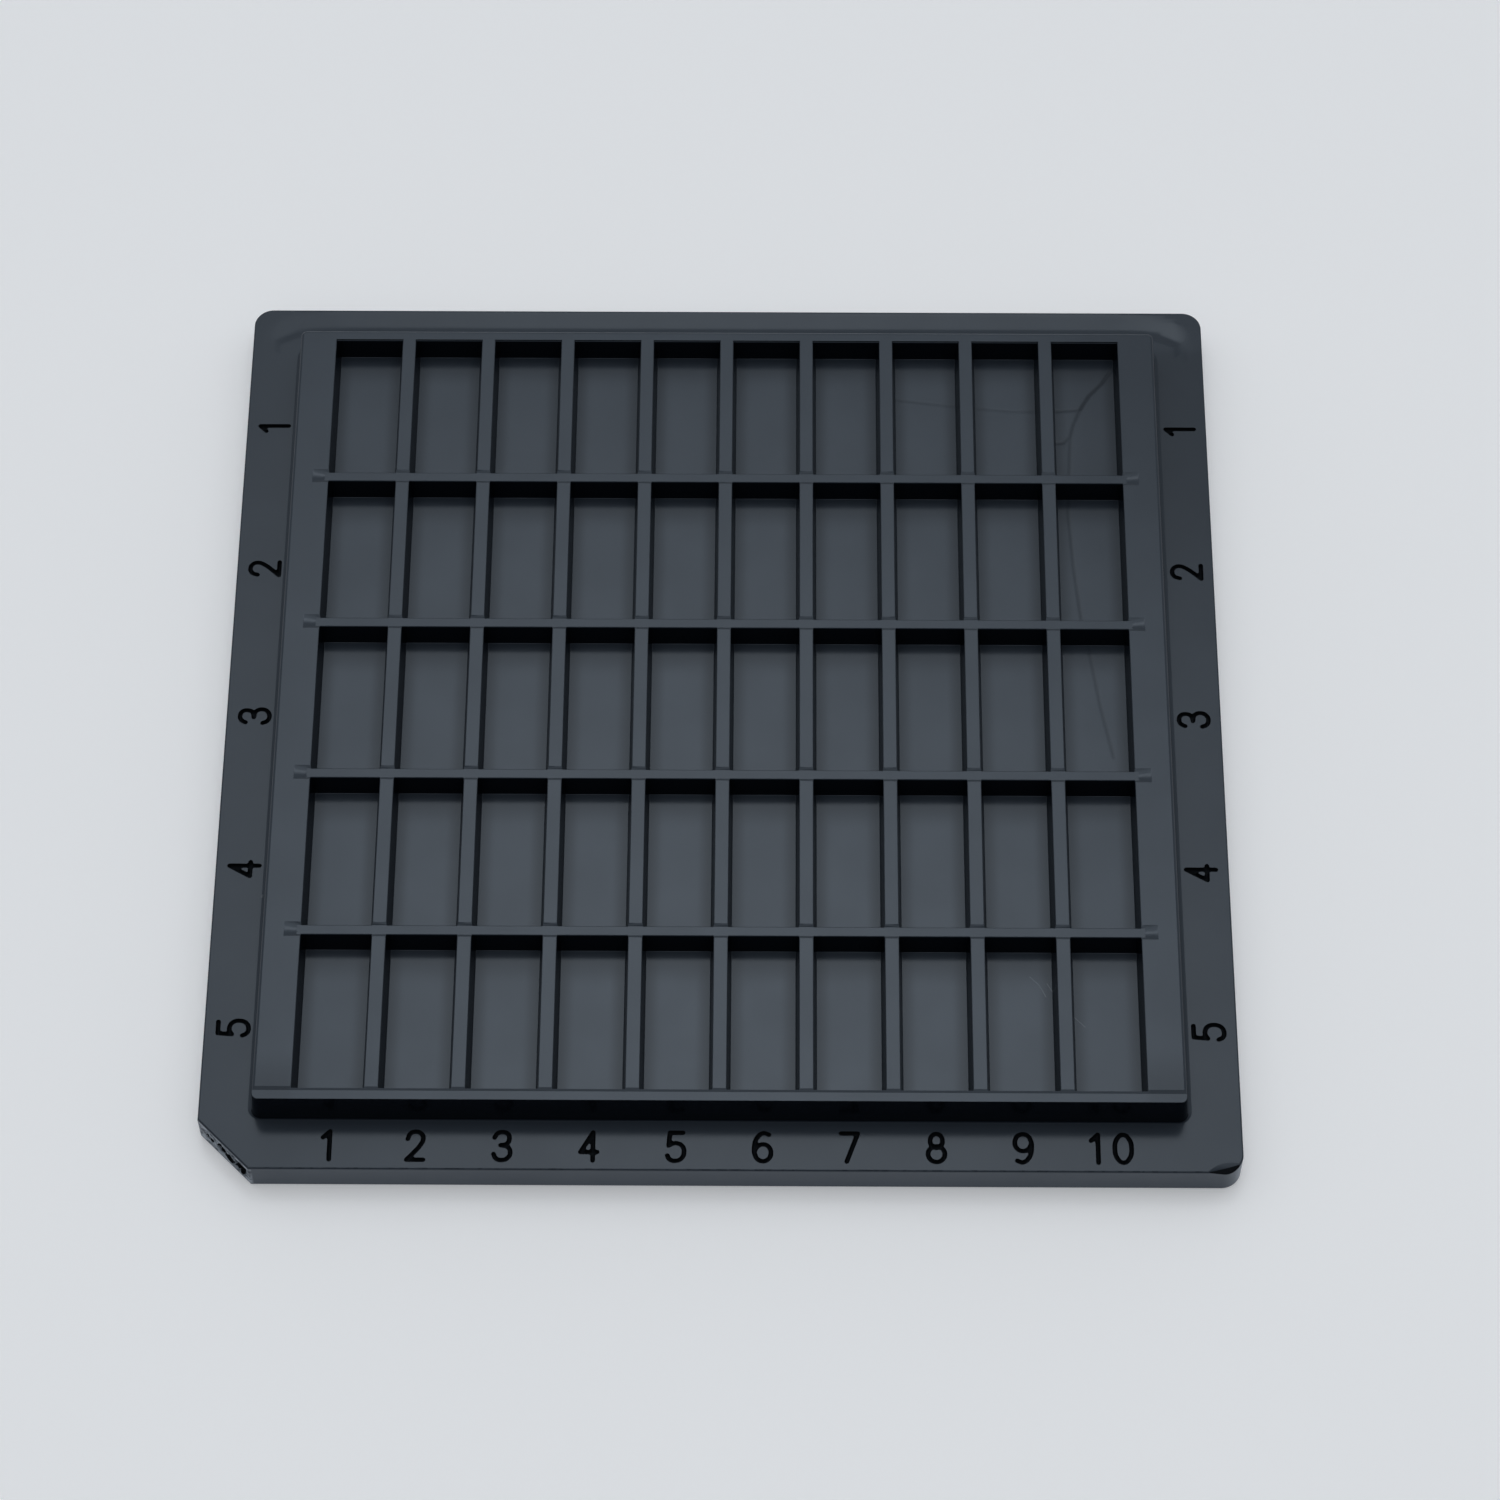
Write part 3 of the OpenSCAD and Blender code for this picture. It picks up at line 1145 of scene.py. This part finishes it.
def pale_floor():
    """A plain pale table top."""
    bm = bmesh.new()
    bmesh.ops.create_grid(bm, x_segments=1, y_segments=1, size=TABLE_HALF)
    floor = mesh_object("floor", bm)
    floor.data.transform(Matrix.Translation((0, 0, -TABLE_DROP * MM)))
    material, tree, shader = new_material("pale_table")
    shader.inputs["Base Color"].default_value = (*TABLE_TONE, 1)
    shader.inputs["Roughness"].default_value = TABLE_ROUGHNESS
    rays = tree.nodes.new("ShaderNodeLightPath").outputs
    # The table glows evenly to the camera, and with a cooler glow in reflections, painted light that
    # lightens its reflection on the tray
    glow = mix_node(tree, rays["Is Glossy Ray"], TABLE_GLOW, TABLE_GLOW_IN_REFLECTIONS)
    tree.links.new(glow, shader.inputs["Emission Color"])
    seen = math_node(tree, "MAXIMUM", rays["Is Camera Ray"], rays["Is Glossy Ray"])
    tree.links.new(seen, shader.inputs["Emission Strength"])
    floor.data.materials.append(material)


def sky_direction(azimuth, elevation):
    """Direction from the tray; azimuth 0 is behind it."""
    a = math.radians(azimuth)
    e = math.radians(elevation)
    return Vector((math.sin(a) * math.cos(e), math.cos(a) * math.cos(e), math.sin(e)))


def overhead_softbox():
    """A square lamp above the tray, aimed at it."""
    data = bpy.data.lights.new("overhead_softbox", "AREA")
    data.shape = "SQUARE"
    data.size = SOFTBOX_SIDE
    data.energy = SOFTBOX_RADIANCE * math.pi * SOFTBOX_SIDE**2
    data.color = LIGHT_TINT
    towards = sky_direction(SOFTBOX_AZIMUTH, SOFTBOX_ELEVATION)
    lamp = bpy.data.objects.new("overhead_softbox", data)
    lamp.location = towards * SOFTBOX_DISTANCE
    lamp.rotation_mode = "QUATERNION"
    lamp.rotation_quaternion = (-towards).to_track_quat("-Z", "Y")
    bpy.context.scene.collection.objects.link(lamp)


def studio_dome():
    """A smooth dome of light round the tray, with the glow on it."""
    world = bpy.data.worlds.new("studio")
    world.use_nodes = True
    tree = world.node_tree
    link = tree.links.new
    direction = tree.nodes.new("ShaderNodeTexCoord").outputs["Generated"]

    split = new_node(tree, "ShaderNodeSeparateXYZ")
    link(direction, split.inputs[0])
    dome = ramp_node(tree, split.outputs["Y"], -DOME_TURN, DOME_TURN, DOME_FRONT, DOME_BACK)

    # The glow is an oval on the dome, turned so that its long axis falls towards the left
    centre = sky_direction(GLOW_AZIMUTH, GLOW_ELEVATION)
    turn = Quaternion((0, 0, 1), math.radians(GLOW_TURN))
    oval_frame = new_node(tree, "ShaderNodeMapping", vector_type="TEXTURE")
    link(direction, oval_frame.inputs["Vector"])
    oval_frame.inputs["Location"].default_value = centre
    oval_frame.inputs["Rotation"].default_value = ((-centre).to_track_quat("-Z", "Y") @ turn).to_euler()
    oval_frame.inputs["Scale"].default_value = (math.radians(GLOW_LENGTH), math.radians(GLOW_WIDTH), 1)
    away = new_node(tree, "ShaderNodeVectorMath", operation="LENGTH")
    link(oval_frame.outputs[0], away.inputs[0])
    glow = ramp_node(tree, away.outputs["Value"], GLOW_CORE, 1.0, GLOW, 0.0)

    background = tree.nodes["Background"]
    background.inputs["Color"].default_value = (*LIGHT_TINT, 1)
    link(math_node(tree, "ADD", dome, glow), background.inputs["Strength"])
    bpy.context.scene.world = world


def photo_camera():
    """The camera at the photograph's place and angle."""
    data = bpy.data.cameras.new("camera")
    data.lens = CAMERA_LENS
    data.clip_start = CAMERA_NEAREST
    camera = bpy.data.objects.new("camera", data)
    camera.location = Vector(CAMERA_PLACE) * MM
    forward = sky_direction(CAMERA_AZIMUTH, -CAMERA_ELEVATION)
    roll = Quaternion((0, 0, 1), math.radians(CAMERA_ROLL))
    camera.rotation_mode = "QUATERNION"
    camera.rotation_quaternion = forward.to_track_quat("-Z", "Y") @ roll
    bpy.context.scene.collection.objects.link(camera)
    bpy.context.scene.camera = camera


def moulded_tray():
    """The whole tray as one closed mesh, in place of its plain solid."""
    plastic = tray_plastic()
    # Numeral grooves, torn pits and the dent's facet get a darker finish: partly rough cut plastic,
    # partly painted shade in the hollows
    hollow_shade = skinless_shaded_plastic("hollow_shade_plastic", *HOLLOW_SHADE_FINISH)
    # Steep walls get a polished finish whose darker colour is painted shade
    wall = skinless_shaded_plastic("shaded_wall_plastic", *SHADED_WALL_FINISH)
    tray = tray_blank()
    tray.data.materials.append(plastic)
    cut_pockets(tray, plastic)
    cut_marks(tray, dent_cutter(plastic, hollow_shade), scar_cutter(hollow_shade), numeral_cutter(hollow_shade))
    shade_steep_walls(tray, wall)
    tray.data.transform(Matrix.Scale(MM, 4))
    smooth_rounds(tray)
    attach(tray, "root")
    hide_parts("die_tray")


photo_camera()
overhead_softbox()
studio_dome()
pale_floor()
moulded_tray()
bpy.context.scene.view_settings.view_transform = "Standard"
